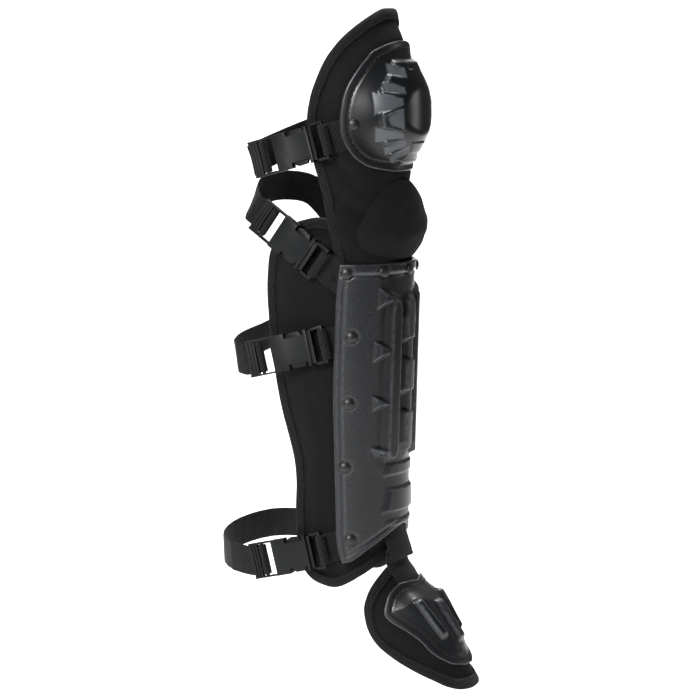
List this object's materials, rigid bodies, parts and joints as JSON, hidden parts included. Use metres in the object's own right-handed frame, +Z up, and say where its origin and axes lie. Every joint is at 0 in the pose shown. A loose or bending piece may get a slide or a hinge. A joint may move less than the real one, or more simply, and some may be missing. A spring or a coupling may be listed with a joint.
{
  "type": "riot leg guard",
  "caption": "Padded knee, shin and foot guard with moulded black shells, worn on the front of a leg and closed behind it by webbing straps with side-release buckles.",
  "frame": {"origin": "on the leg's axis at the middle of the shin", "axes": "+Z up the leg, -Y towards the front of the leg, -X towards the side with the buckles"},
  "size_m": [0.1471, 0.2723, 0.6488],
  "materials": {
    "fabric": "matte woven",
    "binding": "twill tape",
    "webbing": "ribbed weave",
    "shell": "fine grain, satin",
    "buckle": "satin",
    "rivet": "black, semi-gloss"
  },
  "bodies": {
    "root": {"buckle_plug_1": "buckle", "buckle_socket_1": "buckle", "tab_1": "webbing", "strap_1": "webbing", "buckle_plug_2": "buckle", "buckle_socket_2": "buckle", "tab_2": "webbing", "strap_2": "webbing", "buckle_plug_3": "buckle", "buckle_socket_3": "buckle", "tab_3": "webbing", "strap_3": "webbing", "buckle_plug_4": "buckle", "buckle_socket_4": "buckle", "tab_4": "webbing", "strap_4": "webbing", "foot_hanger": "webbing", "foot_strap": "webbing", "knee_pad": "fabric", "knee_binding": "binding", "shin_pad": "fabric", "shin_binding": "binding", "foot_pad": "fabric", "foot_binding": "binding", "shin_rivet_1": "rivet", "shin_rivet_2": "rivet", "shin_rivet_3": "rivet", "shin_rivet_4": "rivet", "shin_rivet_5": "rivet", "shin_rivet_6": "rivet", "shin_rivet_7": "rivet", "shin_rivet_8": "rivet", "shin_rivet_9": "rivet", "shin_rivet_10": "rivet", "shin_rivet_11": "rivet", "shin_rivet_12": "rivet", "shin_rivet_13": "rivet", "shin_shell": "shell", "cap_rivet_1": "rivet", "cap_rivet_2": "rivet", "knee_cap": "shell", "knee_roll": "fabric", "foot_shell": "shell"}
  },
  "joints": []
}
